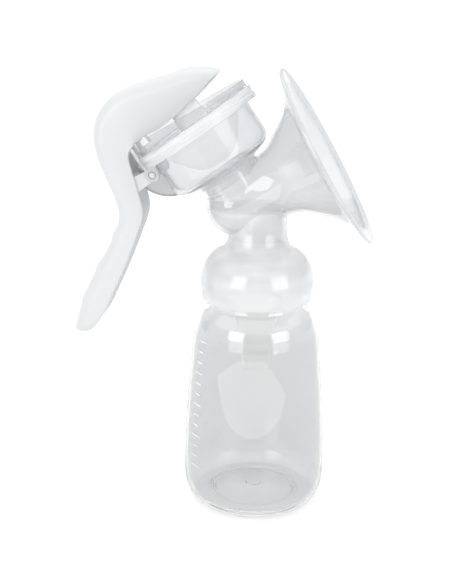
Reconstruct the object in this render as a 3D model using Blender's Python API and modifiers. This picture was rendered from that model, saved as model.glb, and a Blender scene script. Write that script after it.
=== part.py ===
"""Manual breast pump: a lever handle lifts a diaphragm in a cup on the side of a funnel, over a bottle.

Frame: metres, +Z up. The origin is the middle of the object's box, on the surface it stands on.
The funnel opens towards +X and the handle is on the -X side. Each helper frame below is an empty:
bottle_frame stands on the bottle's axis, horn_frame looks out of the funnel, cup_frame looks up the cup
and hinge_frame is on the handle's hinge. Points given as bare pairs are millimetres in such a frame.
"""
import math

import bmesh
import bpy
from mathutils import Vector

MM = 0.001
FIT = 0.3 * MM                    # gap left between pieces that touch
TURN = 2 * math.pi

# Frames
BOTTLE_X = 13.88 * MM             # the bottle's axis, from the middle of the whole object
HORN_RISE = math.radians(30)      # funnel axis above +X
CUP_LEAN = math.radians(34.7)     # cup axis from +Z towards -X
RIM_X = 26.4 * MM                 # funnel rim's centre, from the bottle's axis
RIM_Z = 141.4 * MM
PORT_X = -5.2 * MM                # where the cup's axis meets the funnel's
PORT_Z = 123.5 * MM

# Bottle
BOTTLE_R = 28.4 * MM
FOOT_CORNER = 12.0 * MM           # height of the rounded corner over the foot
FOOT_IN = 18.5 * MM               # flat ring that the bottle stands on
FOOT_OUT = 23.2 * MM
NECK_R = 18.6 * MM
NECK_FOOT = 83.0 * MM
NECK_WALL = 1.7 * MM
MOUTH_Z = 97.0 * MM

# Screw thread
LEAD = 4.0 * MM
THREAD_TURNS = 1.25
THREAD_R = 0.8 * MM               # half the ridge's width
BOTTLE_THREAD_Z = 88.0 * MM
COLLAR_THREAD_Z = BOTTLE_THREAD_Z - LEAD / 2
THREAD_SINK = 0.25 * MM           # how far a ridge's centre line is buried outside its wall

# Pump body
TUNNEL_R = 12.7 * MM
BODY_WALL = 1.4 * MM
TUNNEL_END = -39.3 * MM           # centre of the round end, along the funnel's axis from the rim
RIM_R = 37.0 * MM
RIM_LIP = 1.3 * MM
NECK_TOP = 121.0 * MM             # inside the tunnel
NECK_BORE = 9.7 * MM
COLLAR_BORE = 20.3 * MM
COLLAR_FOOT = 84.6 * MM
CEILING_Z = 99.1 * MM
STUB_R = 8.6 * MM                 # tube that the valve is pushed on to
STUB_BORE = 7.2 * MM
STUB_FOOT = 88.0 * MM
PORT_R = 12.5 * MM
PORT_TOP = 11.9 * MM
PORT_BORE = 11.3 * MM
PORT_FLOOR = 8.6 * MM

# Vacuum cup, along its own axis from the port's centre
CUP_R = 21.35 * MM
CUP_WALL = 1.3 * MM
CUP_CONE_Z = 12.25 * MM
CUP_WALL_Z = 19.0 * MM            # where the straight wall starts
CUP_FLANGE_R = 23.2 * MM
CUP_FLANGE_Z = 31.7 * MM
CUP_TOP = 32.7 * MM
SPIGOT_R = PORT_BORE - FIT
SPIGOT_FOOT = PORT_FLOOR + FIT
SPIGOT_BORE = 9.6 * MM
SEAL_IN = 15.2 * MM
SEAL_OUT = 18.3 * MM

# Diaphragm and stem
BEAD_FOOT = CUP_TOP + FIT
BEAD_TOP = BEAD_FOOT + 1.1 * MM
CONE_TOP_R = 18.3 * MM
HUB_R = 7.6 * MM
HUB_FOOT = 17.6 * MM
HUB_TOP = 22.4 * MM
STEM_R = 5.9 * MM
STEM_TOP = 43.2 * MM
STEM_FOOT = 19.2 * MM
STEM_NECK = 2.6 * MM
BAR_R = 1.5 * MM
BAR_HALF = 5.6 * MM
BAR_Z = 48.5 * MM

# Lid ring
LID_R = 25.4 * MM
LID_FOOT = 30.6 * MM
LID_STEP = 35.4 * MM              # top of the ring's wide part; a thinner rim goes on to LID_TOP
LID_TOP = 38.5 * MM                # the rim's top slopes, from here on the side away from the handle
LID_TOP_HIGH = 41.7 * MM           # up to here on the handle's side
LID_NOTCH_FOOT = 37.7 * MM         # a notch in the rim under the handle
LID_NOTCH_HALF = 10.6 * MM
LID_NOTCH_TO = -16.0 * MM
LID_RIM_R = 24.3 * MM
LID_RIM_WALL = 1.2 * MM
LID_WALL = 1.5 * MM
LID_LIP_R = 21.9 * MM
LID_PLATE_FOOT = BEAD_TOP + FIT
LID_PLATE = 1.1 * MM
LID_OPENING = 17.4 * MM

# Hinge, in the cup's frame
PIVOT_X = -22.7 * MM
PIVOT_Z = 27.8 * MM
HINGE = Vector((PORT_X + PIVOT_X * math.cos(CUP_LEAN) - PIVOT_Z * math.sin(CUP_LEAN),
                PORT_Z + PIVOT_X * math.sin(CUP_LEAN) + PIVOT_Z * math.cos(CUP_LEAN)))   # (x, z)
PIN_R = 1.2 * MM
HOOK_BORE = 1.45 * MM
HOOK_R = 2.7 * MM
LUG_IN = 7.9 * MM                 # from the middle plane to the lug's inner face
LUG_OUT = 9.9 * MM
ARM_IN = 5.4 * MM
ARM_OUT = 7.6 * MM
ARM_R = 2.1 * MM
ARM_ROOT = (-34.5 * MM, 28.5 * MM)
ARM_ROOT_R = 3.4 * MM
HEEL_HALF = 2.4 * MM
TAB_HALF = 6.9 * MM
TAB_TOP = 40.4 * MM

# Handle
GRIP_HALF = 9.0 * MM
BEAK_HALF = 9.8 * MM
HANDLE_WALL = 1.6 * MM
BACK_CORNER = 5.0 * MM
RIDGE = 0.9 * MM
RIDGE_HALF = 1.9 * MM
RIDGES_Z = (109.4 * MM, 96.3 * MM, 82.8 * MM)
LEDGE_IN = 3.0 * MM
LEDGE_X = (-3.4 * MM, 14.6 * MM)
LEDGE = 1.4 * MM
LEDGE_TOP = BAR_Z - BAR_R - FIT

ROUND_STEPS = 32
SMALL_STEPS = 20

COLOURS = {
    "clear_body": ((0.86, 0.88, 0.90), 0.12),
    "clear_bottle": ((0.80, 0.82, 0.84), 0.10),
    "clear_cup": ((0.84, 0.86, 0.89), 0.12),
    "white_plastic": ((0.93, 0.94, 0.95), 0.30),
    "milky_plastic": ((0.90, 0.92, 0.93), 0.35),
    "silicone": ((0.92, 0.92, 0.91), 0.55),
}


# Scene helpers

def clear_scene():
    for obj in list(bpy.data.objects):
        bpy.data.objects.remove(obj, do_unlink=True)


def new_collection(name):
    collection = bpy.data.collections.new(name)
    bpy.context.scene.collection.children.link(collection)
    return collection


def new_material(name):
    colour, roughness = COLOURS[name]
    material = bpy.data.materials.new(name)
    material.use_nodes = True
    shader = material.node_tree.nodes["Principled BSDF"]
    shader.inputs["Base Color"].default_value = (*colour, 1)
    shader.inputs["Roughness"].default_value = roughness
    shader.inputs["Metallic"].default_value = 0
    return material


def frame_empty(name, place, tilt, parent=None):
    """An empty at place, with its Z axis tilted by tilt radians from +Z towards +X."""
    empty = bpy.data.objects.new(name, None)
    PARTS.objects.link(empty)
    empty.location = place
    empty.rotation_euler = (0, tilt, 0)
    empty.parent = parent
    return empty


def add_object(name, mesh, parent, material=None, cutter=False):
    obj = bpy.data.objects.new(name, mesh)
    (CUTTERS if cutter else PARTS).objects.link(obj)
    obj.parent = parent
    if material:
        mesh.materials.append(MATERIALS[material])
    if cutter:
        obj.hide_render = True
        obj.display_type = "WIRE"
    return obj


def smooth_round(obj):
    obj.data.shade_smooth()
    obj.data.set_sharp_from_angle(angle=math.radians(40))


# Shape helpers

def arc(centre, radius, start, end, count):
    """Points (r, z) on a circle, from the angle start to end, in degrees from the r axis."""
    points = []
    for i in range(count + 1):
        angle = math.radians(start + (end - start) * i / count)
        points.append((centre[0] + radius * math.cos(angle), centre[1] + radius * math.sin(angle)))
    return points


def spline(points, per_span):
    """A smooth curve through all the points (Catmull-Rom), with per_span steps between two of them."""
    ends = [points[0]] + list(points) + [points[-1]]
    out = []
    for i in range(1, len(ends) - 2):
        p0, p1, p2, p3 = (Vector(p) for p in ends[i - 1:i + 3])
        for k in range(per_span):
            t = k / per_span
            out.append(0.5 * (2 * p1 + (p2 - p0) * t + (2 * p0 - 5 * p1 + 4 * p2 - p3) * t ** 2
                              + (3 * p1 - p0 - 3 * p2 + p3) * t ** 3))
    out.append(Vector(points[-1]))
    return [tuple(p) for p in out]


def mm(points):
    return [(a * MM, b * MM) for a, b in points]


def turned(name, profile, parent, material=None, steps=ROUND_STEPS, closed=False, cutter=False):
    """A profile of (r, z) points, down its outer side, turned about the parent's Z axis."""
    mesh = bpy.data.meshes.new(name)
    count = len(profile)
    edges = [(i, i + 1) for i in range(count - 1)]
    if closed:
        edges.append((count - 1, 0))
    mesh.from_pydata([(r, 0, z) for r, z in profile], edges, [])
    obj = add_object(name, mesh, parent, material, cutter)
    screw = obj.modifiers.new("turn", "SCREW")
    screw.axis = "Z"
    screw.angle = TURN
    screw.steps = steps
    screw.render_steps = steps
    screw.use_merge_vertices = True
    screw.merge_threshold = 0.00001
    screw.use_smooth_shade = True
    return obj


def helix_tube(name, radius, foot_z, parent):
    """A ridge of round section along a right-handed helix, as a mesh that a Boolean can join."""
    curve = bpy.data.curves.new(name, "CURVE")
    curve.dimensions = "3D"
    curve.bevel_depth = THREAD_R
    curve.bevel_resolution = 1
    curve.use_fill_caps = True
    points = int(32 * THREAD_TURNS) + 1
    path = curve.splines.new("POLY")
    path.points.add(points - 1)
    for i, point in enumerate(path.points):
        turn = THREAD_TURNS * i / (points - 1)
        angle = turn * TURN
        point.co = (radius * math.cos(angle), radius * math.sin(angle), foot_z + LEAD * turn, 1)
    return curve_to_mesh(name, curve, parent)


def curve_to_mesh(name, curve, parent):
    """A joining or cutting solid made from a curve, its caps welded."""
    guide = bpy.data.objects.new(name + "_curve", curve)
    CUTTERS.objects.link(guide)
    guide.parent = parent
    bpy.context.view_layer.update()
    evaluated = guide.evaluated_get(bpy.context.evaluated_depsgraph_get())
    mesh = bpy.data.meshes.new_from_object(evaluated)
    solid = bmesh.new()
    solid.from_mesh(mesh)
    bmesh.ops.remove_doubles(solid, verts=solid.verts, dist=0.00001)
    bmesh.ops.recalc_face_normals(solid, faces=solid.faces)
    solid.to_mesh(mesh)
    solid.free()
    obj = add_object(name, mesh, None, cutter=True)
    obj.matrix_world = guide.matrix_world.copy()
    bpy.data.objects.remove(guide, do_unlink=True)
    return obj


def plate(name, outline, low_y, high_y, parent, material=None, cutter=True):
    """A flat piece: the outline of (x, z) points, from low_y to high_y."""
    mesh = bpy.data.meshes.new(name)
    solid = bmesh.new()
    ring = [solid.verts.new((x, low_y, z)) for x, z in outline]
    face = solid.faces.new(ring)
    grown = bmesh.ops.extrude_face_region(solid, geom=[face])
    moved = [item for item in grown["geom"] if isinstance(item, bmesh.types.BMVert)]
    bmesh.ops.translate(solid, verts=moved, vec=(0, high_y - low_y, 0))
    bmesh.ops.recalc_face_normals(solid, faces=solid.faces)
    solid.to_mesh(mesh)
    solid.free()
    return add_object(name, mesh, parent, material, cutter)


def rod(name, radius, low_y, high_y, centre, parent, steps=SMALL_STEPS):
    """A round bar along Y, centred on (x, z)."""
    outline = [(centre[0] + r, centre[1] + z) for r, z in arc((0, 0), radius, 0, 360, steps)[:-1]]
    return plate(name, outline, low_y, high_y, parent)


def capsule(first, first_r, second, second_r, count=10):
    """The outline around two circles, as (x, z) points: the straight sides touch both circles."""
    run = Vector(second) - Vector(first)
    heading = math.degrees(math.atan2(run.y, run.x))
    lean = math.degrees(math.acos((first_r - second_r) / run.length))
    far_end = arc(second, second_r, heading - lean, heading + lean, count)
    near_end = arc(first, first_r, heading + lean, heading - lean + 360, count)
    return far_end + near_end


def boolean(obj, other, operation):
    """One joining or cutting step. Long chains on these turned and lofted solids need MANIFOLD."""
    step = obj.modifiers.new(f"{operation.lower()}_{other.name}", "BOOLEAN")
    step.operation = operation
    step.solver = "MANIFOLD"
    step.object = other


def join_all(obj, others):
    for other in others:
        boolean(obj, other, "UNION")


def cut_all(obj, others):
    for other in others:
        boolean(obj, other, "DIFFERENCE")


# Pieces

def make_bottle(frame):
    """Inner floor, inner wall, mouth, outer wall, foot and punt, from the axis round to the axis."""
    floor = mm([(0, 4.9), (10.0, 4.4), (16.0, 3.0), (18.6, 1.6), (21.5, 1.7), (24.2, 2.9), (26.4, 6.2)])
    inner = mm([(27.1, 13.0), (27.0, 28.0), (26.3, 39.5), (25.3, 52.5), (24.1, 65.2), (23.1, 71.0),
                (22.2, 74.6), (20.9, 77.2), (19.0, 79.4), (17.2, 81.8)])
    mouth = [(NECK_R - NECK_WALL, MOUTH_Z), (NECK_R, MOUTH_Z), (NECK_R, NECK_FOOT)]
    outer = mm([(19.0, 82.0), (20.4, 80.5), (22.5, 78.0), (23.8, 75.3), (24.6, 71.0), (25.5, 65.2),
                (26.6, 52.5), (27.6, 39.5), (28.2, 28.0)])
    corner = []
    for i in range(6):
        angle = TURN / 4 * i / 5
        radius = FOOT_OUT + (BOTTLE_R - FOOT_OUT) * math.cos(angle)
        corner.append((radius, FOOT_CORNER * (1 - math.sin(angle))))
    punt = [(FOOT_IN, 0)] + mm([(16.6, 1.4), (10.0, 3.0), (0, 3.6)])
    bottle = turned("bottle", floor + inner + mouth + outer + corner + punt, frame, "clear_bottle")
    join_all(bottle, [helix_tube("bottle_thread", NECK_R + THREAD_SINK, BOTTLE_THREAD_Z, frame)])
    return bottle


def make_neck_seal(frame):
    low = MOUTH_Z + FIT
    high = CEILING_Z - FIT
    profile = [(SEAL_IN, high), (SEAL_OUT, high), (SEAL_OUT, low), (SEAL_IN, low)]
    return turned("neck_seal", profile, frame, "silicone", closed=True)


def funnel_outline(grow):
    """Outer (grow 0) or inner (grow minus the wall) profile of tunnel and funnel, tunnel end first."""
    end = arc((0, TUNNEL_END), TUNNEL_R + grow, -90, 0, 6)
    flare = spline(mm([(12.7, -28.0), (13.3, -22.5), (14.9, -18.5), (18.3, -14.0), (22.2, -9.8),
                       (26.3, -6.0), (29.6, -3.4), (33.0, -2.1), (36.6, -1.5)]), 2)
    moved = []
    for i, point in enumerate(flare):
        before = Vector(flare[max(i - 1, 0)])
        after = Vector(flare[min(i + 1, len(flare) - 1)])
        along = (after - before).normalized()
        moved.append((point[0] + grow * along.y, point[1] - grow * along.x))
    return end + moved


def make_pump_body(frame, horn, cup):
    """Collar and neck, then the tunnel and funnel, then the angled port: one moulding."""
    neck = [(0, NECK_TOP), (11.2 * MM, NECK_TOP)]
    neck += mm([(11.2, 112.0), (11.6, 109.0), (12.4, 106.6), (14.0, 104.6), (16.6, 103.1), (18.9, 101.0),
                (20.6, 98.4), (21.7, 95.4), (22.2, 92.0), (22.1, 88.8), (21.8, 86.2)])
    neck += [(21.5 * MM, COLLAR_FOOT), (0, COLLAR_FOOT)]
    body = turned("pump_body", neck, frame, "clear_body")
    outer = funnel_outline(0) + [(RIM_R, -RIM_LIP), (RIM_R, -0.3 * MM), (RIM_R - 0.5 * MM, 0), (0, 0)]
    funnel = turned("body_funnel", list(reversed(outer)), horn, cutter=True)
    port = turned("body_port", [(0, PORT_TOP), (PORT_R, PORT_TOP), (PORT_R, 0), (0, 0)], cup, cutter=True)
    join_all(body, [funnel, port])
    inner = funnel_outline(-BODY_WALL) + [(RIM_R - 1.2 * MM, 0), (RIM_R - 1.2 * MM, MM), (0, MM)]
    tunnel = turned("body_tunnel", list(reversed(inner)), horn, cutter=True)
    bore = [(0, NECK_TOP), (NECK_BORE, NECK_TOP), (NECK_BORE, 104.5 * MM), (STUB_BORE, 101.5 * MM),
            (STUB_BORE, STUB_FOOT), (STUB_R, STUB_FOOT), (STUB_R, CEILING_Z), (18.5 * MM, CEILING_Z),
            (19.9 * MM, 97.3 * MM), (COLLAR_BORE, 95.4 * MM), (COLLAR_BORE, COLLAR_FOOT - MM),
            (0, COLLAR_FOOT - MM)]
    bore_solid = turned("body_bore", bore, frame, cutter=True)
    socket = [(0, PORT_TOP + MM), (PORT_BORE, PORT_TOP + MM), (PORT_BORE, PORT_FLOOR),
              (SPIGOT_BORE, PORT_FLOOR), (SPIGOT_BORE, 3 * MM), (0, 3 * MM)]
    socket_solid = turned("body_socket", socket, cup, cutter=True)
    cut_all(body, [tunnel, bore_solid, socket_solid])
    join_all(body, [helix_tube("collar_thread", COLLAR_BORE - THREAD_SINK, COLLAR_THREAD_Z, frame)])
    return body


def make_duckbill_valve(frame):
    """A sleeve over the body's stub that flattens into a slit bill: a loft between unlike sections."""
    stations = [  # height, outer half sizes along X and Y, wall, all in millimetres
        (98.6, 12.0, 12.0, 3.1), (97.4, 12.0, 12.0, 3.1), (97.0, 10.3, 10.3, 1.4), (86.5, 10.3, 10.3, 1.4),
        (82.0, 9.6, 9.0, 1.3), (76.0, 8.3, 6.6, 1.2), (69.0, 6.9, 4.2, 1.1), (61.0, 5.8, 2.2, 1.0),
        (54.0, 5.3, 1.4, 0.9)]
    mesh = bpy.data.meshes.new("duckbill_valve")
    solid = bmesh.new()
    rings = []
    for inside in (False, True):
        for height, half_x, half_y, wall in stations:
            shrink = wall if inside else 0
            ring = []
            for i in range(SMALL_STEPS):
                angle = TURN * i / SMALL_STEPS
                x = (half_x - shrink) * math.cos(angle)
                y = (half_y - shrink) * math.sin(angle)
                ring.append(solid.verts.new((x * MM, y * MM, height * MM)))
            rings.append(ring)
    outer = rings[:len(stations)]
    inner = rings[len(stations):]
    loop = outer + list(reversed(inner))
    for first, second in zip(loop, loop[1:] + loop[:1]):
        for i in range(SMALL_STEPS):
            j = (i + 1) % SMALL_STEPS
            solid.faces.new((first[i], second[i], second[j], first[j]))
    bmesh.ops.recalc_face_normals(solid, faces=solid.faces)
    solid.to_mesh(mesh)
    solid.free()
    valve = add_object("duckbill_valve", mesh, frame, "silicone")
    smooth_round(valve)
    return valve


def make_vacuum_cup(cup):
    """A closed loop: wall and cone outside, spigot, then the inside back up to the flange."""
    outer = [(CUP_FLANGE_R, CUP_TOP), (CUP_FLANGE_R, CUP_FLANGE_Z), (CUP_R, CUP_FLANGE_Z),
             (CUP_R, CUP_WALL_Z)]
    outer += mm([(21.1, 17.2), (20.3, 15.7), (18.9, 14.6), (12.6, 12.4)])
    outer += [(SPIGOT_R, CUP_CONE_Z), (SPIGOT_R, SPIGOT_FOOT), (SPIGOT_BORE, SPIGOT_FOOT)]
    inner = [(SPIGOT_BORE, CUP_CONE_Z + 0.4 * MM)]
    inner += mm([(12.4, 13.8), (18.3, 15.9), (19.3, 16.8), (19.9, 18.0)])
    inner += [(CUP_R - CUP_WALL, CUP_WALL_Z + 0.6 * MM), (CUP_R - CUP_WALL, CUP_TOP)]
    return turned("vacuum_cup", outer + inner, cup, "clear_cup", closed=True)


def make_diaphragm(cup):
    """A clamped bead, a flat band, a cone down to the hub, and the hub's cup around the stem's foot."""
    cone = [(CUP_FLANGE_R - 0.2 * MM, BEAD_TOP), (CUP_FLANGE_R - 0.2 * MM, BEAD_FOOT),
            (CONE_TOP_R, BEAD_FOOT), (CONE_TOP_R - 0.6 * MM, BEAD_FOOT - 1.2 * MM)]
    cone += [(HUB_R + 3.2 * MM, HUB_TOP - 0.8 * MM), (HUB_R + 0.4 * MM, HUB_FOOT + 1.2 * MM),
             (HUB_R - 1.4 * MM, HUB_FOOT), (0, HUB_FOOT)]
    top = [(0, STEM_FOOT - FIT), (STEM_R + FIT, STEM_FOOT - FIT), (STEM_R + FIT, HUB_TOP),
           (HUB_R + 1.0 * MM, HUB_TOP), (HUB_R + 2.2 * MM, HUB_TOP + 0.9 * MM),
           (CONE_TOP_R - 1.4 * MM, BEAD_FOOT - FIT), (CONE_TOP_R - 1.1 * MM, BEAD_TOP)]
    return turned("diaphragm", top + cone, cup, "silicone")


def make_pull_stem(cup):
    """Foot and round body, a thin neck, and a cross bar along Y that the handle's ledges lift."""
    profile = [(0, STEM_TOP), (STEM_R - 1.5 * MM, STEM_TOP), (STEM_R, STEM_TOP - 1.5 * MM),
               (STEM_R, STEM_FOOT), (0, STEM_FOOT)]
    stem = turned("pull_stem", profile, cup, "milky_plastic", steps=SMALL_STEPS)
    neck = turned("stem_neck", [(0, BAR_Z), (STEM_NECK, BAR_Z), (STEM_NECK, STEM_TOP - 2 * MM),
                                (0, STEM_TOP - 2 * MM)], cup, steps=SMALL_STEPS, cutter=True)
    bar = rod("stem_bar", BAR_R, -BAR_HALF, BAR_HALF, (0, BAR_Z), cup)
    join_all(stem, [neck, bar])
    return stem


def make_lid_ring(cup):
    """The clamping ring, with two hooked lugs and the rounded heel that bridges them."""
    plate_top = LID_PLATE_FOOT + LID_PLATE
    ring_top = LID_TOP_HIGH + 1 * MM
    ring = [(LID_RIM_R, ring_top), (LID_RIM_R, LID_STEP), (LID_R, LID_STEP), (LID_R, LID_FOOT),
            (LID_LIP_R, LID_FOOT), (LID_LIP_R, LID_FOOT + 0.7 * MM), (LID_R - LID_WALL, LID_FOOT + 0.9 * MM),
            (LID_R - LID_WALL, LID_PLATE_FOOT), (LID_OPENING, LID_PLATE_FOOT), (LID_OPENING, plate_top),
            (LID_RIM_R - LID_RIM_WALL, plate_top), (LID_RIM_R - LID_RIM_WALL, ring_top)]
    lid = turned("lid_ring", ring, cup, "clear_cup", closed=True)
    far = 30 * MM
    above = 50 * MM
    lean = (LID_TOP_HIGH - LID_TOP) / (2 * LID_RIM_R)
    middle = (LID_TOP_HIGH + LID_TOP) / 2
    slope = [(-far, middle + far * lean), (far, middle - far * lean), (far, above), (-far, above)]
    notch = [(-far, LID_NOTCH_FOOT), (LID_NOTCH_TO, LID_NOTCH_FOOT), (LID_NOTCH_TO, above), (-far, above)]
    cut_all(lid, [plate("rim_slope", slope, -far, far, cup),
                  plate("rim_notch", notch, -LID_NOTCH_HALF, LID_NOTCH_HALF, cup)])
    pieces = []
    lug_outline = mm([(-18.6, 33.0), (-23.4, 33.0), (-24.4, 30.4), (-25.2, 28.2), (-20.4, 27.0)])
    for side in (-1, 1):
        low, high = sorted((side * LUG_IN, side * LUG_OUT))
        lug = plate(f"lug_{side}", lug_outline, low, high, cup)
        eye = rod(f"eye_{side}", HOOK_R, low, high, (PIVOT_X, PIVOT_Z), cup)
        pieces += [lug, eye]
    tab_outline = [(-LID_R, LID_FOOT + 0.4 * MM), (-LID_R, TAB_TOP), (LID_WALL - LID_R, TAB_TOP),
                   (LID_WALL - LID_R, LID_FOOT + 0.4 * MM)]
    pieces.append(plate("tab", tab_outline, -TAB_HALF, TAB_HALF, cup))
    heel_arc = arc((-15.3 * MM, 30.1 * MM), 15.6 * MM, 192, 246, 8)
    heel_outline = mm([(-24.2, 33.5), (-27.2, 33.3)]) + heel_arc + mm([(-19.2, 15.0), (-18.5, 22.0)])
    pieces.append(plate("heel", heel_outline, -HEEL_HALF, HEEL_HALF, cup))
    join_all(lid, pieces)
    room_top = LID_PLATE_FOOT - FIT / 2
    room = [(0, room_top), (CUP_FLANGE_R + FIT, room_top), (CUP_FLANGE_R + FIT, LID_FOOT + 0.8 * MM),
            (CUP_R + FIT, LID_FOOT + 0.6 * MM), (CUP_R + FIT, CUP_WALL_Z)]
    room += mm([(21.5, 17.0), (20.6, 15.3), (19.1, 14.2), (12.6, 12.0), (0, 12.0)])
    cup_room = turned("cup_room", room, cup, cutter=True)
    bores = [rod(f"hook_bore_{side}", HOOK_BORE, side * LUG_OUT - 3 * MM, side * LUG_OUT + 3 * MM,
                 (PIVOT_X, PIVOT_Z), cup) for side in (-1, 1)]
    cut_all(lid, [cup_room] + bores)
    return lid


def outer_edge():
    """The handle's back, from the beak's tip over the top and down to the grip's end: (x, z)."""
    back = spline(mm([(-16.4, 172.0), (-21.5, 172.8), (-28.0, 172.6), (-34.5, 170.4), (-43.0, 167.7),
                      (-51.0, 165.0), (-57.0, 160.8), (-61.2, 155.2), (-63.1, 148.5), (-62.5, 141.5),
                      (-60.0, 133.8), (-57.0, 127.1), (-54.8, 121.4), (-53.9, 116.6), (-54.8, 111.6),
                      (-58.1, 104.2), (-62.1, 96.6), (-66.2, 88.8), (-69.2, 81.2), (-71.6, 74.0),
                      (-72.4, 69.4)]), 2)
    ridged = []
    for x, z in back:
        lift = RIDGE * sum(math.exp(-((z - ridge) / RIDGE_HALF) ** 2) for ridge in RIDGES_Z)
        ridged.append((x - 0.9 * lift, z - 0.4 * lift))
    return ridged


def inner_edge():
    """The free edge of the handle's two side walls, from the beak's tip to the grip's end: (x, z)."""
    return spline(mm([(-16.0, 170.9), (-18.8, 168.0), (-23.2, 163.1), (-31.2, 155.7), (-36.6, 151.2),
                      (-41.4, 148.6), (-45.4, 145.6), (-48.4, 142.2), (-48.8, 138.8), (-47.6, 134.4),
                      (-46.0, 128.6), (-44.4, 122.4), (-43.8, 118.4), (-44.6, 114.0), (-46.8, 107.9),
                      (-49.6, 100.4), (-52.7, 92.9), (-56.6, 84.2), (-60.0, 76.9), (-64.4, 70.8),
                      (-69.0, 68.5)]), 2)


def handle_section(back, edge, half, shrink, count=5):
    """One U section as (x, y, z) points: up the near wall, round the back and down the far wall."""
    back = Vector((back[0], 0, back[1]))
    edge = Vector((edge[0], 0, edge[1]))
    depth = (back - edge).length
    out = (back - edge).normalized()
    corner = max(min(BACK_CORNER, depth * 0.6) - shrink, FIT)
    wide = half - shrink
    tall = depth - shrink
    points = [edge + Vector((0, -wide, 0))]
    for i in range(count + 1):
        angle = math.radians(90 * i / count)
        y = -(wide - corner + corner * math.cos(angle))
        points.append(edge + out * (tall - corner + corner * math.sin(angle)) + Vector((0, y, 0)))
    return points + [Vector((p.x, -p.y, p.z)) for p in reversed(points)]


def loft(name, sections, parent, material=None, cutter=False):
    """A closed solid through open sections of equal length, each closed by its own first point."""
    mesh = bpy.data.meshes.new(name)
    solid = bmesh.new()
    rings = [[solid.verts.new(p) for p in section] for section in sections]
    for first, second in zip(rings, rings[1:]):
        for i in range(len(first)):
            j = (i + 1) % len(first)
            solid.faces.new((first[i], first[j], second[j], second[i]))
    solid.faces.new(rings[0])
    solid.faces.new(rings[-1])
    bmesh.ops.recalc_face_normals(solid, faces=solid.faces)
    solid.to_mesh(mesh)
    solid.free()
    return add_object(name, mesh, parent, material, cutter)


def handle_sections(shrink, first, last, reach):
    """Sections of the handle's solid, or of its channel when shrink is the wall; reach lengthens them.

    They are measured from the hinge, and the ends are narrower than the middle.
    """
    backs = outer_edge()
    edges = inner_edge()
    sections = []
    for i in range(first, last):
        share = i / (len(backs) - 1)
        half = BEAK_HALF + (GRIP_HALF - BEAK_HALF) * min(1, share * 2)
        taper = min(1, 0.55 + 6 * share, 0.55 + 6 * (1 - share))
        back = Vector(backs[i]) - HINGE
        edge = Vector(edges[i]) - HINGE
        edge += (edge - back).normalized() * reach
        sections.append(handle_section(back, edge, half * taper, shrink))
    return sections


def make_handle(hinge, cup):
    """The U channel, closed at both ends, with hinge arms, pins and the ledges that lift the stem."""
    stations = len(outer_edge())
    handle = loft("handle", handle_sections(0, 0, stations, 0), hinge, "white_plastic")
    channel = loft("handle_channel", handle_sections(HANDLE_WALL, 2, stations - 2, 2 * MM), hinge,
                   cutter=True)
    cut_all(handle, [channel])
    ledge = [(LEDGE_X[0], LEDGE_TOP - LEDGE), (LEDGE_X[1], LEDGE_TOP - LEDGE), (LEDGE_X[1], LEDGE_TOP),
             (LEDGE_X[0], LEDGE_TOP)]
    arm = capsule((PIVOT_X, PIVOT_Z), ARM_R, ARM_ROOT, ARM_ROOT_R)
    pieces = []
    for side in (-1, 1):
        low, high = sorted((side * LEDGE_IN, side * (BEAK_HALF - HANDLE_WALL / 2)))
        pieces.append(plate(f"ledge_{side}", ledge, low, high, cup))
        low, high = sorted((side * ARM_IN, side * ARM_OUT))
        pieces.append(plate(f"arm_{side}", arm, low, high, cup))
        low, high = sorted((side * (ARM_IN + 0.1 * MM), side * (GRIP_HALF - 0.5 * MM)))
        pieces.append(rod(f"arm_root_{side}", ARM_ROOT_R - 0.1 * MM, low, high, ARM_ROOT, cup))
        low, high = sorted((side * (ARM_IN + 0.4 * MM), side * LUG_OUT))
        pieces.append(rod(f"pin_{side}", PIN_R, low, high, (PIVOT_X, PIVOT_Z), cup))
    join_all(handle, pieces)
    return handle


def make_pump():
    bottle = frame_empty("bottle_frame", (BOTTLE_X, 0, 0), 0)
    horn = frame_empty("horn_frame", (RIM_X, 0, RIM_Z), math.pi / 2 - HORN_RISE, bottle)
    cup = frame_empty("cup_frame", (PORT_X, 0, PORT_Z), -CUP_LEAN, bottle)
    hinge = frame_empty("hinge_frame", (HINGE.x, 0, HINGE.y), 0, bottle)
    bpy.context.view_layer.update()
    make_bottle(bottle)
    make_neck_seal(bottle)
    make_pump_body(bottle, horn, cup)
    make_duckbill_valve(bottle)
    make_vacuum_cup(cup)
    make_diaphragm(cup)
    make_pull_stem(cup)
    make_lid_ring(cup)
    make_handle(hinge, cup)
    bpy.context.view_layer.update()


clear_scene()
PARTS = new_collection("breast_pump")
CUTTERS = new_collection("cutters")
MATERIALS = {name: new_material(name) for name in COLOURS}
make_pump()
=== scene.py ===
"""Manual breast pump: the looks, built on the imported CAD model.

Metres, +Z up. Each maker below draws one piece in millimetres in its own frame: BOTTLE stands on the
bottle's axis, HORN looks out of the funnel and CUP looks up the vacuum cup. The pieces carry the CAD's
own sizes with finer curves, rounded edges and the small moulded details.
"""
import math

import bmesh
import bpy
from mathutils import Matrix, Vector


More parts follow.
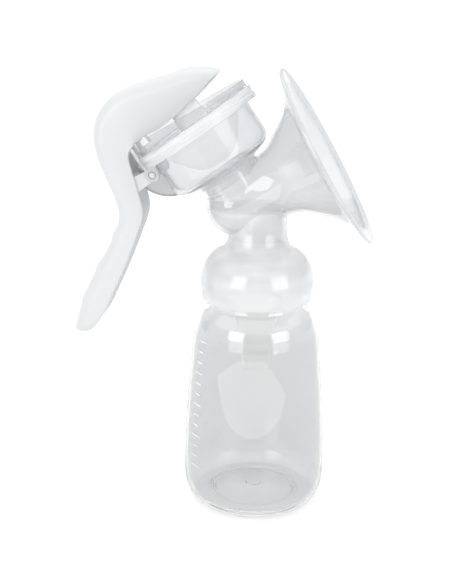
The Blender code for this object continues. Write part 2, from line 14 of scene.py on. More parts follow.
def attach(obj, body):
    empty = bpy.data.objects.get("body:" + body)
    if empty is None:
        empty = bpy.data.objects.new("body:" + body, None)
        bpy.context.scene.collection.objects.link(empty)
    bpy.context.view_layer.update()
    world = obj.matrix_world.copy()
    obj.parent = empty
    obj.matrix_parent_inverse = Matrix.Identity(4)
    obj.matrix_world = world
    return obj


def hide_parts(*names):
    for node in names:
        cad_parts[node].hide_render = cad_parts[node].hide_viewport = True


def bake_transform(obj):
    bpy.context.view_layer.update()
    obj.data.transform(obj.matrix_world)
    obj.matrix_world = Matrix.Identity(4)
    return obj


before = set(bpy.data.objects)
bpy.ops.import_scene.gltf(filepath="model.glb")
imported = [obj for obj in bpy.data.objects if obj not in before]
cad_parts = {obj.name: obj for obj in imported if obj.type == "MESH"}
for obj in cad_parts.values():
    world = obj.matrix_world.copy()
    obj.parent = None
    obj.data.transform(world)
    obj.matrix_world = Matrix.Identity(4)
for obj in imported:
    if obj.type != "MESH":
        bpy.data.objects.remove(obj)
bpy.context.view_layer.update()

MM = 0.001
FIT = 0.3
TURN = 2 * math.pi
FILLET_STEPS = 4
ROD_STEPS = 40
CAPSULE_STEPS = 14
AXIS_X = 13.88
CUP_LEAN = math.radians(34.7)
HORN_RISE = math.radians(30)
PORT = (-5.2, 123.5)
RIM = (26.4, 141.4)


def frame_at(x, z, tilt):
    """Millimetres in a frame whose Z axis is tilted from +Z towards +X, to metres in the scene."""
    place = Matrix.Translation(((AXIS_X + x) * MM, 0, z * MM))
    return place @ Matrix.Rotation(tilt, 4, "Y") @ Matrix.Scale(MM, 4)


BOTTLE = frame_at(0, 0, 0)
HORN = frame_at(*RIM, math.pi / 2 - HORN_RISE)
CUP = frame_at(*PORT, -CUP_LEAN)

PIVOT = (-22.7, 27.8)

NECK_R = 18.6
MOUTH_Z = 97.0
LEAD = 4.0
THREAD_R = 0.8
BOTTLE_THREAD_Z = 88.0
COLLAR_BORE = 20.3
COLLAR_FOOT = 84.6
CEILING_Z = 99.1
BODY_WALL = 1.4
NECK_TOP = 121
STUB_BORE = 7.2
STUB_R = 8.6
THREAD_SINK = 0.25
THREAD_TURNS = 1.25
CUP_R = 21.35
CUP_TOP = 32.7
BEAD_FOOT = 33.0
BEAD_TOP = 34.1
LID_R = 25.4
LID_FOOT = 30.6
LID_STEP = 35.4
LID_TOP = 38.5
LID_TOP_HIGH = 41.7
LID_NOTCH_FOOT = 37.7
LID_NOTCH_HALF = 10.6
LID_NOTCH_TO = -16
LID_RIM_R = 24.3
LUG_IN = 7.9
LUG_OUT = 9.9
HOOK_R = 2.7
HOOK_BORE = 1.45
PIN_R = 1.2
STEM_R = 5.9
STEM_FOOT = 19.2
STEM_TOP = 43.2
BAR_R = 1.5
BAR_Z = 48.5
RIDGES_Z = (109.4, 96.3, 82.8)
RIDGE = 0.9
RIDGE_HALF = 1.9
HANDLE_WALL = 1.6
BACK_CORNER = 5.0
BEAK_HALF = 9.8
GRIP_HALF = 9.0
MARKS = 13
MARK_FOOT_Z = 18.5
MARK_STEP = 4.29
FLOOR_REACH = 9


# Outlines

def arc(centre, radius, start, end, count):
    points = []
    for i in range(count + 1):
        angle = math.radians(start + (end - start) * i / count)
        points.append((centre[0] + radius * math.cos(angle), centre[1] + radius * math.sin(angle)))
    return points


def spline(points, per_span):
    """A smooth curve through all the points (Catmull-Rom)."""
    ends = [points[0]] + list(points) + [points[-1]]
    out = []
    for i in range(1, len(ends) - 2):
        p0, p1, p2, p3 = (Vector(p) for p in ends[i - 1:i + 3])
        for k in range(per_span):
            t = k / per_span
            out.append(0.5 * (2 * p1 + (p2 - p0) * t + (2 * p0 - 5 * p1 + 4 * p2 - p3) * t ** 2
                              + (3 * p1 - p0 - 3 * p2 + p3) * t ** 3))
    out.append(Vector(points[-1]))
    return [tuple(p) for p in out]


def rounded(points, closed=False):
    """Corners given as (a, b, radius) are filleted, and those given as (a, b) stay sharp."""
    out = []
    total = len(points)
    for i, point in enumerate(points):
        here = Vector(point[:2])
        if len(point) < 3 or (not closed and i in (0, total - 1)):
            out.append(tuple(here))
            continue
        back = Vector(points[i - 1][:2]) - here
        on = Vector(points[(i + 1) % total][:2]) - here
        reach = min(point[2], back.length * 0.49, on.length * 0.49)
        start = here + back.normalized() * reach
        end = here + on.normalized() * reach
        for k in range(FILLET_STEPS + 1):
            t = k / FILLET_STEPS
            out.append(tuple(start * (1 - t) ** 2 + here * 2 * t * (1 - t) + end * t ** 2))
    return out


def capsule(first, first_r, second, second_r):
    """Two round ends joined by straight sides."""
    run = Vector(second) - Vector(first)
    heading = math.degrees(math.atan2(run.y, run.x))
    lean = math.degrees(math.acos((first_r - second_r) / run.length))
    far_end = arc(second, second_r, heading - lean, heading + lean, CAPSULE_STEPS)
    return far_end + arc(first, first_r, heading + lean, heading - lean + 360, CAPSULE_STEPS)


# Solids

def new_object(name, mesh_data):
    mesh = bpy.data.meshes.new(name)
    mesh_data.normal_update()
    bmesh.ops.recalc_face_normals(mesh_data, faces=mesh_data.faces)
    mesh_data.to_mesh(mesh)
    mesh_data.free()
    obj = bpy.data.objects.new(name, mesh)
    bpy.context.scene.collection.objects.link(obj)
    return obj


def revolve(name, profile, matrix, steps=128, closed=False):
    """A profile of (r, z) points turned about the frame's Z axis; an open one ends on the axis."""
    solid = bmesh.new()
    rings = []
    for r, z in profile:
        if r < 1e-6:
            rings.append([solid.verts.new(matrix @ Vector((0, 0, z)))])
        else:
            rings.append([solid.verts.new(matrix @ Vector((r * math.cos(TURN * k / steps),
                                                           r * math.sin(TURN * k / steps), z)))
                          for k in range(steps)])
    pairs = list(zip(rings, rings[1:]))
    if closed:
        pairs.append((rings[-1], rings[0]))
    for first, second in pairs:
        for k in range(steps):
            j = (k + 1) % steps
            if len(first) == 1 and len(second) == 1:
                continue
            if len(first) == 1:
                solid.faces.new((first[0], second[k], second[j]))
            elif len(second) == 1:
                solid.faces.new((first[k], second[0], first[j]))
            else:
                solid.faces.new((first[k], second[k], second[j], first[j]))
    return new_object(name, solid)


def loft(name, rings, closed=False):
    """A skin through rings of equal length, each a closed loop of scene points."""
    solid = bmesh.new()
    made = [[solid.verts.new(p) for p in ring] for ring in rings]
    pairs = list(zip(made, made[1:]))
    if closed:
        pairs.append((made[-1], made[0]))
    for first, second in pairs:
        for i in range(len(first)):
            j = (i + 1) % len(first)
            solid.faces.new((first[i], first[j], second[j], second[i]))
    if not closed:
        solid.faces.new(made[0])
        solid.faces.new(made[-1])
    return new_object(name, solid)


def plate(name, outline, low_y, high_y, matrix, edge):
    """A flat piece with rounded edges: the outline of (x, z) points, from low_y to high_y."""
    middle = Vector((sum(p[0] for p in outline) / len(outline), sum(p[1] for p in outline) / len(outline)))
    rings = []
    inset = []
    for i, point in enumerate(outline):
        before = Vector(outline[i - 1])
        after = Vector(outline[(i + 1) % len(outline)])
        here = Vector(point)
        side = (after - before).normalized()
        normal = Vector((side.y, -side.x))
        if normal.dot(here - middle) < 0:
            normal = -normal
        inset.append(normal)
    levels = [(low_y + edge * s, edge * d) for s, d in ((0, 1), (0.3, 0.3), (1, 0))]
    levels += [(high_y - edge * s, edge * d) for s, d in ((1, 0), (0.3, 0.3), (0, 1))]
    if not edge:
        levels = [(low_y, 0), (high_y, 0)]
    for y, depth in levels:
        rings.append([matrix @ Vector((p[0] - n.x * depth, y, p[1] - n.y * depth))
                      for p, n in zip(outline, inset)])
    return loft(name, rings)


def rod(name, radius, low_y, high_y, centre, matrix, edge):
    return plate(name, arc(centre, radius, 0, 360, ROD_STEPS)[:-1], low_y, high_y, matrix, edge)


def helix(name, radius, foot_z):
    """A thread ridge whose two ends run out into the wall."""
    rings = []
    count = int(64 * THREAD_TURNS)
    for i in range(count + 1):
        share = i / count
        angle = TURN * THREAD_TURNS * share
        size = THREAD_R * max(0.25, min(1, 8 * share, 8 * (1 - share)))
        ring = []
        for k in range(12):
            turn = TURN * k / 12
            r = radius + size * math.cos(turn)
            z = foot_z + LEAD * THREAD_TURNS * share + size * math.sin(turn)
            ring.append(BOTTLE @ Vector((r * math.cos(angle), r * math.sin(angle), z)))
        rings.append(ring)
    return loft(name, rings)


def combine(obj, steps, sharp=35):
    """Runs Boolean steps, keeps the result as the piece's own mesh and removes the helpers."""
    for operation, other in steps:
        step = obj.modifiers.new(operation, "BOOLEAN")
        step.operation = operation
        step.solver = "MANIFOLD"
        step.object = other
    bpy.context.view_layer.update()
    made = bpy.data.meshes.new_from_object(obj.evaluated_get(bpy.context.evaluated_depsgraph_get()))
    obj.modifiers.clear()
    obj.data = made
    for _, other in steps:
        bpy.data.objects.remove(other, do_unlink=True)
    return smooth(obj, sharp)


def smooth(obj, sharp=35):
    obj.data.shade_smooth()
    obj.data.set_sharp_from_angle(angle=math.radians(sharp))
    return obj


# Materials, with the heights in metres where one look gives way to another

BASE_ZONE = (0.020, 0.004)
SHOULDER_ZONE = (0.070, 0.078)
MILKY_ZONE = (0.1097, 0.1087)
NECK_HAZE_ZONE = (0.1215, 0.1195)


def shader(name, colour, roughness, **settings):
    material = bpy.data.materials.new(name)
    material.use_nodes = True
    node = material.node_tree.nodes["Principled BSDF"]
    node.inputs["Base Color"].default_value = (*colour, 1)
    node.inputs["Roughness"].default_value = roughness
    for key, value in settings.items():
        node.inputs[key.replace("_", " ")].default_value = value
    return material, node


def add(material, kind, **settings):
    node = material.node_tree.nodes.new(kind)
    for key, value in settings.items():
        if hasattr(node, key):
            setattr(node, key, value)
        else:
            node.inputs[key.replace("_", " ")].default_value = value
    return node


def join(material, source, output, target, socket):
    material.node_tree.links.new(source.outputs[output], target.inputs[socket])


def ramp(material, source, output, stops):
    node = add(material, "ShaderNodeValToRGB")
    elements = node.color_ramp.elements
    while len(elements) < len(stops):
        elements.new(0.5)
    for element, (place, value) in zip(elements, stops):
        element.position = place
        element.color = value if len(value) == 4 else (*value, 1)
    join(material, source, output, node, "Fac")
    return node


def remap(material, source, output, start, end, low=0.0, high=1.0):
    """Turns the run from start to end into one from low to high, and holds it level beyond."""
    node = add(material, "ShaderNodeMapRange", From_Min=start, From_Max=end, To_Min=low, To_Max=high)
    join(material, source, output, node, "Value")
    return node


def combine_values(material, operation, first, second):
    """A Math node on two (node, output) pairs."""
    node = add(material, "ShaderNodeMath", operation=operation)
    join(material, *first, node, 0)
    join(material, *second, node, 1)
    return node


def moulded_surface(material, node, scale, height, base_rough, swing):
    """Fine moulding ripple in the bump, and slow patches of slightly different gloss."""
    place = add(material, "ShaderNodeTexCoord")
    ripple = add(material, "ShaderNodeTexNoise", Scale=scale, Detail=3.0)
    join(material, place, "Object", ripple, "Vector")
    bump = add(material, "ShaderNodeBump", Strength=1.0, Distance=height)
    join(material, ripple, "Fac", bump, "Height")
    join(material, bump, "Normal", node, "Normal")
    patches = add(material, "ShaderNodeTexNoise", Scale=60.0, Detail=2.0)
    join(material, place, "Object", patches, "Vector")
    gloss = remap(material, patches, "Fac", 0.0, 1.0, max(base_rough - swing, 0), base_rough + swing)
    join(material, gloss, "Result", node, "Roughness")
    return place, gloss


def gloss_coat(material, rim, weight):
    """A polished skin that shows the softboxes, and fades at the outline so that the edges stay grey."""
    node = material.node_tree.nodes["Principled BSDF"]
    node.inputs["Coat Roughness"].default_value = 0.04
    node.inputs["Coat IOR"].default_value = 1.6
    skin = remap(material, rim, "Facing", 0.65, 0.9, weight, 0.0)
    join(material, skin, "Result", node, "Coat Weight")


def grey_outline(material, rim, clear):
    """The wall is met edge on at the outline, where it turns from clear to hazy grey."""
    node = material.node_tree.nodes["Principled BSDF"]
    through = remap(material, rim, "Facing", 0.80, 0.95, clear, 0.2 * clear)
    join(material, through, "Result", node, "Transmission Weight")
    return through


def clear_plastic(name, face, edge, ior, roughness, clear=1.0, coat=1.0):
    """Clear moulding: tinted a little where it is met head on, and darker where it is met edge on."""
    material, node = shader(name, face, roughness, IOR=ior, Transmission_Weight=clear)
    moulded_surface(material, node, 70.0, 0.00001, roughness, 0.01)
    rim = add(material, "ShaderNodeLayerWeight", Blend=0.5)
    tint = ramp(material, rim, "Facing", [(0.35, face), (0.97, edge)])
    join(material, tint, "Color", node, "Base Color")
    gloss_coat(material, rim, coat)
    grey_outline(material, rim, clear)
    return material


def paint_gathered_light(material, colour):
    """Painted light: the level faces of the thick base and the shoulder get a lighter colour for the light
    they gather, so they are less grey than the wall between them.
    """
    node = material.node_tree.nodes["Principled BSDF"]
    tint = node.inputs["Base Color"].links[0].from_socket
    place = add(material, "ShaderNodeTexCoord")
    split = add(material, "ShaderNodeSeparateXYZ")
    join(material, place, "Object", split, "Vector")
    facing_up = add(material, "ShaderNodeSeparateXYZ")
    join(material, place, "Normal", facing_up, "Vector")
    level = add(material, "ShaderNodeMath", operation="ABSOLUTE")
    join(material, facing_up, "Z", level, 0)
    low = remap(material, split, "Z", *BASE_ZONE)
    foot = combine_values(material, "MULTIPLY", (low, "Result"), (level, "Value"))
    high = remap(material, split, "Z", *SHOULDER_ZONE, 0.0, 0.6)
    either = combine_values(material, "MAXIMUM", (foot, "Value"), (high, "Result"))
    blend_colours(material, either.outputs["Value"], tint, colour)


def blend_colours(material, factor, tint, colour):
    """Mixes the tint with another colour (plain or a socket) by the factor, into the base colour."""
    node = material.node_tree.nodes["Principled BSDF"]
    mix = add(material, "ShaderNodeMix", data_type="RGBA")
    sockets = {(s.name, s.type): s for s in mix.inputs}
    material.node_tree.links.new(factor, sockets[("Factor", "VALUE")])
    material.node_tree.links.new(tint, sockets[("A", "RGBA")])
    if isinstance(colour, tuple):
        sockets[("B", "RGBA")].default_value = (*colour, 1)
    else:
        material.node_tree.links.new(colour, sockets[("B", "RGBA")])
    mixed = [s for s in mix.outputs if s.type == "RGBA"][0]
    material.node_tree.links.new(mixed, node.inputs["Base Color"])
    return mixed


def body_plastic():
    """The clear body, whose collar is milky below a level line on the neck, with lighter horizontal bands
    painted on the milky part for the light and shade of the threads inside.
    """
    face, edge = (0.94, 0.943, 0.95), (0.75, 0.755, 0.765)
    material, node = shader("body_moulding", face, 0.06, IOR=1.13)
    place, gloss = moulded_surface(material, node, 90.0, 0.00002, 0.06, 0.02)
    split = add(material, "ShaderNodeSeparateXYZ")
    join(material, place, "Object", split, "Vector")
    milky = remap(material, split, "Z", *MILKY_ZONE)
    along = add(material, "ShaderNodeVectorMath", operation="DOT_PRODUCT")
    join(material, place, "Object", along, "Vector")
    along.inputs[1].default_value = (math.cos(HORN_RISE), 0, math.sin(HORN_RISE))
    rim_plane = HORN.translation.x * math.cos(HORN_RISE) + HORN.translation.z * math.sin(HORN_RISE)
    lip = remap(material, along, "Value", rim_plane - 1.7 * MM, rim_plane - 1.2 * MM)
    neck = remap(material, split, "Z", *NECK_HAZE_ZONE, 0.0, 0.8)
    hazed = combine_values(material, "MAXIMUM", (milky, "Result"), (neck, "Result"))
    rim = add(material, "ShaderNodeLayerWeight", Blend=0.5)
    tint = ramp(material, rim, "Facing", [(0.35, face), (0.97, edge)])
    # Painted light: random lighter horizontal bands on the milky colour, for the threads seen through the
    # collar
    stretch = add(material, "ShaderNodeMapping")
    stretch.inputs["Scale"].default_value = (0.06, 0.06, 1.0)
    join(material, place, "Object", stretch, "Vector")
    bands = add(material, "ShaderNodeTexNoise", Scale=380.0, Detail=3.0)
    join(material, stretch, "Vector", bands, "Vector")
    streak = remap(material, bands, "Fac", 0.3, 0.7, 0.0, 0.45)
    cloud = ramp(material, rim, "Facing", [(0.35, (0.80, 0.805, 0.815)), (0.97, (0.72, 0.725, 0.735))])
    painted_thread_bands = blend_colours(material, streak.outputs["Result"], cloud.outputs["Color"], (0.92, 0.925, 0.935))
    milk = blend_colours(material, hazed.outputs["Value"], tint.outputs["Color"], painted_thread_bands)
    blend_colours(material, lip.outputs["Result"], milk, (0.62, 0.63, 0.64))
    haze = remap(material, hazed, "Value", 0.0, 1.0, 0.8, 0.42)
    frost = remap(material, lip, "Result", 0.0, 1.0, 1.0, 0.1)
    through = combine_values(material, "MULTIPLY", (haze, "Result"), (frost, "Result"))
    outline = grey_outline(material, rim, 1.0)
    inside = combine_values(material, "MULTIPLY", (through, "Value"), (outline, "Result"))
    join(material, inside, "Value", node, "Transmission Weight")
    blur = add(material, "ShaderNodeMath", operation="MULTIPLY_ADD")
    blur.inputs[1].default_value = 0.1
    join(material, milky, "Result", blur, 0)
    join(material, gloss, "Result", blur, 2)
    gloss_coat(material, rim, 1.0)
    join(material, blur, "Value", node, "Roughness")
    return material


def white_plastic():
    material, node = shader("white_moulding", (0.685, 0.692, 0.70), 0.32, IOR=1.46)
    moulded_surface(material, node, 900.0, 0.000012, 0.32, 0.05)
    return material


def soft_rubber(name, colour, transmission):
    material, node = shader(name, colour, 0.5, IOR=1.2, Transmission_Weight=transmission)
    node.inputs["Subsurface Weight"].default_value = 0.3
    node.inputs["Subsurface Radius"].default_value = (1.0, 1.0, 1.0)
    node.inputs["Subsurface Scale"].default_value = 0.002
    moulded_surface(material, node, 700.0, 0.00002, 0.5, 0.06)
    return material


# Pieces

BOTTLE_SIDE = spline([(19.0, 82.0), (20.4, 80.5), (22.5, 78.0), (23.8, 75.3), (24.6, 71.0), (25.5, 65.2),
                      (26.6, 52.5), (27.6, 39.5), (28.2, 28.0)], 5)


def radius_at(z):
    for (r0, z0), (r1, z1) in zip(BOTTLE_SIDE, BOTTLE_SIDE[1:]):
        if z1 <= z <= z0:
            return r0 + (r1 - r0) * (z - z0) / (z1 - z0)
    low = max(0.0, min(1.0, (z - 12.0) / 16.0))
    return 28.4 - 0.2 * low


def make_bottle():
    floor = spline([(0, 4.9), (5.0, 4.8), (10.0, 4.4), (16.0, 3.0), (18.6, 1.9), (21.5, 1.9), (24.2, 2.9),
                    (26.2, 6.2), (27.1, 13.0), (27.0, 28.0)], 5)
    wall = spline([(27.0, 28.0), (26.3, 39.5), (25.3, 52.5), (24.1, 65.2), (23.1, 71.0), (22.2, 74.6),
                   (20.9, 77.2), (19.0, 79.4), (17.2, 81.8)], 5)[1:]
    mouth = rounded([(16.9, 83.5), (16.9, MOUTH_Z, 0.6), (NECK_R, MOUTH_Z, 0.6), (NECK_R, 83.2, 0.8),
                     (19.0, 82.0)])[:-1]
    corner = []
    for i in range(13):
        angle = TURN / 4 * i / 12
        corner.append((23.2 + 5.2 * math.cos(angle), 12 * (1 - math.sin(angle))))
    foot = rounded([(23.2, 0), (18.5, 0, 0.5), (17.3, 1.1, 0.5), (16.6, 1.5, 0.2), (16.2, 1.0, 0.2),
                    (15.7, 1.0, 0.2), (15.3, 1.7, 0.3), (10.0, 2.9, 4.0), (3.4, 3.55, 1.0), (2.6, 3.0, 0.4),
                    (1.2, 2.8, 0.4), (0, 2.8)])[1:]
    bottle = revolve("clear_bottle", floor + wall + mouth + BOTTLE_SIDE + corner + foot, BOTTLE)
    steps = [("UNION", helix("bottle_thread", NECK_R + THREAD_SINK, BOTTLE_THREAD_Z))]
    for i in range(MARKS):
        steps.append(("UNION", make_mark(MARK_FOOT_Z + MARK_STEP * i, 6.5 if i % 3 == 0 else 4.5)))
    return combine(bottle, steps)


def make_mark(z, half_angle):
    """One raised graduation mark, a short bar that follows the bottle's side."""
    rings = []
    for k in range(9):
        angle = math.radians(218 + half_angle * (k / 4 - 1))
        size = 0.3 * math.sqrt(max(1 - (k / 4 - 1) ** 2, 0.12))
        ring = []
        for j in range(10):
            turn = TURN * j / 10
            r = radius_at(z) + 0.05 + size * math.cos(turn) * 0.7
            along = z + size * math.sin(turn)
            ring.append(BOTTLE @ Vector((r * math.cos(angle), r * math.sin(angle), along)))
        rings.append(ring)
    return loft("mark", rings)


def make_neck_seal():
    low, high = MOUTH_Z + FIT, CEILING_Z - FIT
    profile = rounded([(15.2, high, 0.4), (18.3, high, 0.4), (18.3, low, 0.4), (15.2, low, 0.4)], True)
    return smooth(revolve("seal_ring", profile, BOTTLE, closed=True))


def funnel_outline(grow):
    end = arc((0, -39.3), 12.7 + grow, -90, 0, 16)
    flare = spline([(12.7, -28.0), (13.3, -22.5), (14.9, -18.5), (18.3, -14.0), (22.2, -9.8), (26.3, -6.0),
                    (29.6, -3.4), (33.0, -2.1), (36.6, -1.5)], 5)
    moved = []
    for i, point in enumerate(flare):
        before = Vector(flare[max(i - 1, 0)])
        after = Vector(flare[min(i + 1, len(flare) - 1)])
        along = (after - before).normalized()
        moved.append((point[0] + grow * along.y, point[1] - grow * along.x))
    return end + moved


def make_pump_body():
    collar = spline([(11.2, 112.0), (11.6, 109.0), (12.4, 106.6), (14.0, 104.6), (16.6, 103.1), (18.9, 101.0),
                     (20.6, 98.4), (21.7, 95.4), (22.2, 92.0), (22.1, 88.8), (21.8, 86.2)], 5)
    foot = rounded([collar[-1], (21.5, COLLAR_FOOT, 0.4), (0, COLLAR_FOOT)])[1:]
    body = revolve("pump_moulding", [(0, NECK_TOP), (11.2, NECK_TOP)] + collar + foot, BOTTLE)
    outer = funnel_outline(0) + [(36.85, -1.3), (36.95, -1.0), (36.95, -0.4), (36.73, -0.18), (36.43, -0.1),
                                 (0, -0.1)]
    funnel = revolve("funnel", list(reversed(outer)), HORN)
    port = revolve("port", rounded([(0, 11.9), (12.5, 11.9, 0.4), (12.5, 0), (0, 0)]), CUP)
    inner = funnel_outline(-BODY_WALL) + [(35.6, -0.4), (35.9, -0.1), (35.9, 1), (0, 1)]
    tunnel = revolve("tunnel", list(reversed(inner)), HORN)
    bore = rounded([(0, NECK_TOP), (9.7, NECK_TOP), (9.7, 104.5, 1.0), (STUB_BORE, 101.5, 1.0),
                    (STUB_BORE, 88.0), (STUB_R, 88.0), (STUB_R, CEILING_Z),
                    (18.5, CEILING_Z, 0.5), (19.9, 97.3, 1.0), (COLLAR_BORE, 95.4),
                    (COLLAR_BORE, COLLAR_FOOT - 1), (0, COLLAR_FOOT - 1)])
    bore_solid = revolve("bore", bore, BOTTLE)
    socket = revolve("socket", [(0, 12.9), (11.3, 12.9), (11.3, 8.6), (9.6, 8.6), (9.6, 3), (0, 3)], CUP)
    thread = helix("collar_thread", COLLAR_BORE - THREAD_SINK, BOTTLE_THREAD_Z - LEAD / 2)
    return combine(body, [("UNION", funnel), ("UNION", port), ("DIFFERENCE", tunnel),
                          ("DIFFERENCE", bore_solid), ("DIFFERENCE", socket), ("UNION", thread)], 20)


def make_duckbill():
    """A sleeve that flattens into a slit bill, with a rolled top rim."""
    stations = [(98.6, 11.7, 11.7, 2.5), (98.4, 11.95, 11.95, 3.05), (98.0, 12.0, 12.0, 3.1),
                (97.6, 11.9, 11.9, 3.0), (97.3, 11.2, 11.2, 2.3), (97.0, 10.4, 10.4, 1.5),
                (96.2, 10.3, 10.3, 1.4), (86.5, 10.3, 10.3, 1.4), (84.0, 10.1, 9.9, 1.4),
                (82.0, 9.6, 9.0, 1.3), (79.0, 8.9, 7.8, 1.3), (76.0, 8.3, 6.6, 1.2), (72.5, 7.6, 5.3, 1.2),
                (69.0, 6.9, 4.2, 1.1), (65.0, 6.3, 3.1, 1.1), (61.0, 5.8, 2.2, 1.0), (57.0, 5.5, 1.6, 0.9),
                (54.2, 5.3, 1.4, 0.9), (54.0, 5.15, 1.25, 0.75)]
    rings = []
    for inside, listed in ((False, stations), (True, list(reversed(stations)))):
        for z, half_x, half_y, wall in listed:
            shrink = wall if inside else 0
            rings.append([BOTTLE @ Vector(((half_x - shrink) * math.cos(TURN * i / 64),
                                           (half_y - shrink) * math.sin(TURN * i / 64), z))
                          for i in range(64)])
    return smooth(loft("duckbill", rings, closed=True), 50)


def make_vacuum_cup():
    outer = [(23.2, CUP_TOP, 0.3), (23.2, 31.7, 0.3), (CUP_R, 31.7, 0.2), (CUP_R, 19.0, 0.5),
             (21.1, 17.2, 1.0), (20.3, 15.7, 1.0), (18.9, 14.6, 1.0), (12.6, 12.4, 0.8), (11.0, 12.25),
             (11.0, 8.9, 0.2), (9.6, 8.9)]
    inner = [(9.6, 12.65, 0.6), (12.4, 13.8, 0.8), (18.3, 15.9, 1.0), (19.3, 16.8, 1.0), (19.9, 18.0, 1.0),
             (20.05, 19.6, 1.0), (20.05, CUP_TOP, 0.3)]
    return smooth(revolve("clear_cup", rounded(outer + inner, True), CUP, closed=True))


def make_diaphragm():
    """Bead under the lid, a rolled lip, a ribbed cone and the hub's socket round the stem's foot."""
    under = rounded([(23.0, BEAD_TOP, 0.3), (23.0, BEAD_FOOT, 0.3), (18.3, BEAD_FOOT, 0.5), (17.7, 31.8, 0.8),
                     (15.4, 28.4, 0.5), (15.0, 27.4, 0.3), (12.9, 24.7, 0.3), (10.8, 21.6, 0.8),
                     (8.0, 18.8, 0.8), (6.2, 17.6, 0.8), (0, 17.6)])
    top = rounded([(0, 18.9), (6.2, 18.9, 0.2), (6.2, 22.4, 0.3), (8.6, 22.4, 0.5), (9.8, 23.3, 0.6),
                   (13.9, 29.1, 0.3), (14.3, 29.0, 0.2), (16.9, 32.7, 0.6), (17.2, BEAD_TOP, 0.3),
                   (20, BEAD_TOP)])[:-1]
    return smooth(revolve("suction_cone", top + under, CUP, steps=96))


def make_pull_stem():
    body = rounded([(0, STEM_TOP), (STEM_R - 1.5, STEM_TOP, 0.5), (STEM_R, STEM_TOP - 1.5, 0.8),
                    (STEM_R, STEM_FOOT, 0.5), (0, STEM_FOOT)])
    stem = revolve("stem", body, CUP, steps=64)
    neck = revolve("stem_neck", [(0, BAR_Z), (2.6, BAR_Z), (2.6, 43.4), (3.0, 43.0), (3.0, 41.2), (0, 41.2)],
                   CUP, steps=48)
    bar = rod("stem_bar", BAR_R, -5.6, 5.6, (0, BAR_Z), CUP, 0.4)
    return combine(stem, [("UNION", neck), ("UNION", bar)])


def make_lid_ring():
    plate_foot = BEAD_TOP + FIT
    top = plate_foot + 1.1
    ring_top = LID_TOP_HIGH + 1
    ring = rounded([(LID_RIM_R, ring_top), (LID_RIM_R, LID_STEP, 0.2), (LID_R, LID_STEP, 0.4),
                    (LID_R, 33.4, 0.2), (LID_R - 0.25, 33.2, 0.2), (LID_R - 0.25, 32.7, 0.2),
                    (LID_R, 32.5, 0.2), (LID_R, LID_FOOT, 0.3), (21.9, LID_FOOT, 0.1),
                    (21.9, LID_FOOT + 0.7), (LID_R - 1.5, LID_FOOT + 0.9), (LID_R - 1.5, plate_foot),
                    (17.4, plate_foot, 0.2), (17.4, top, 0.3), (23.1, top, 0.3),
                    (23.1, ring_top)], True)
    lid = revolve("clamp_ring", ring, CUP, closed=True)
    lean = (LID_TOP_HIGH - LID_TOP) / (2 * LID_RIM_R)
    middle = (LID_TOP_HIGH + LID_TOP) / 2
    slope = [(-30, middle + 30 * lean), (30, middle - 30 * lean), (30, 50), (-30, 50)]
    notch = [(-30, LID_NOTCH_FOOT), (LID_NOTCH_TO, LID_NOTCH_FOOT), (LID_NOTCH_TO, 50), (-30, 50)]
    steps = [("DIFFERENCE", plate("rim_slope", slope, -30, 30, CUP, 0)),
             ("DIFFERENCE", plate("rim_notch", notch, -LID_NOTCH_HALF, LID_NOTCH_HALF, CUP, 0))]
    lug = rounded([(-18.6, 33.0), (-23.4, 33.0, 0.8), (-24.4, 30.4, 1.0), (-25.2, 28.2, 0.5),
                   (-20.4, 27.0, 0.5)], True)
    for side in (-1, 1):
        low, high = sorted((side * LUG_IN, side * LUG_OUT))
        steps.append(("UNION", plate("lug", lug, low, high, CUP, 0.25)))
        steps.append(("UNION", rod("eye", HOOK_R, low, high, PIVOT, CUP, 0.25)))
    tab = rounded([(-LID_R, 31.0), (-LID_R, 40.4, 0.5), (1.5 - LID_R, 40.4, 0.5), (1.5 - LID_R, 31.0)], True)
    steps.append(("UNION", plate("tab", tab, -6.9, 6.9, CUP, 0.4)))
    heel = [(-24.2, 33.5), (-27.2, 33.3)] + arc((-15.3, 30.1), 15.6, 192, 246, 24)
    heel += [(-19.2, 15.0), (-18.5, 22.0)]
    steps.append(("UNION", plate("heel", heel, -2.4, 2.4, CUP, 0.4)))
    room_top = plate_foot - FIT / 2
    room = [(0, room_top), (23.5, room_top), (23.5, LID_FOOT + 0.8), (CUP_R + FIT, LID_FOOT + 0.6),
            (CUP_R + FIT, 19.0), (21.5, 17.0), (20.6, 15.3), (19.1, 14.2), (12.6, 12.0), (0, 12.0)]
    steps.append(("DIFFERENCE", revolve("cup_room", room, CUP)))
    for side in (-1, 1):
        bore = rod("hook_bore", HOOK_BORE, side * LUG_OUT - 3, side * LUG_OUT + 3, PIVOT, CUP, 0)
        steps.append(("DIFFERENCE", bore))
    return combine(lid, steps, 20)


